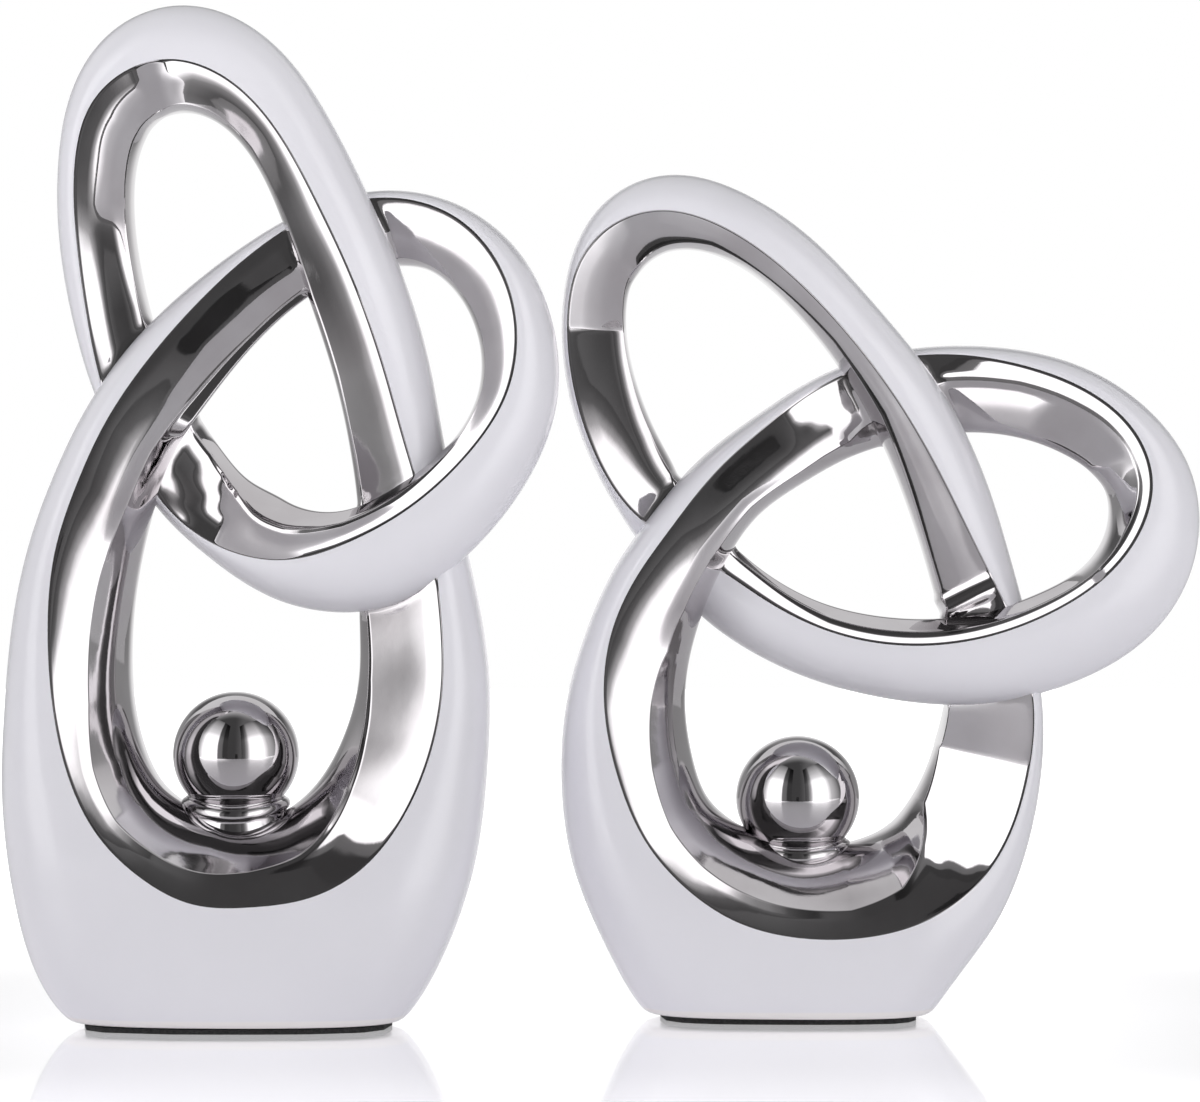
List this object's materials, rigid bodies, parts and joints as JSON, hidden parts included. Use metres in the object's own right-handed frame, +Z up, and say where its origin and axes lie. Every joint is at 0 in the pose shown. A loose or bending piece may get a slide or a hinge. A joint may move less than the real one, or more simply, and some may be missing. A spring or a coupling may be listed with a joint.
{
  "type": "abstract ceramic sculpture",
  "caption": "Matched pair of abstract knot sculptures, a tall and a short one: a glazed strand with silver-plated inner faces loops up from an egg-shaped base with a plated ball in its eye.",
  "frame": {"origin": "middle of the pair's bounding box, on the surface that both sculptures stand on", "axes": "+X to the viewer's right, from the tall sculpture to the short one; +Y away from the viewer; +Z up"},
  "size_m": [0.421, 0.1153, 0.356],
  "materials": {
    "white_glaze": "glossy cool-white glaze; the same castings' inner faces carry the silver plating",
    "silver_plating": "mirror-bright silver plating over glazed ceramic",
    "black_pad": "matt black foam pad"
  },
  "bodies": {
    "root": {"tall_base": "white_glaze", "tall_side_loop": "white_glaze", "tall_top_loop": "white_glaze", "tall_ball": "silver_plating", "tall_ball_seat": "silver_plating", "tall_foot_pad": "black_pad", "short_base": "white_glaze", "short_side_loop": "white_glaze", "short_top_loop": "white_glaze", "short_ball": "silver_plating", "short_ball_seat": "silver_plating", "short_foot_pad": "black_pad"}
  },
  "joints": []
}
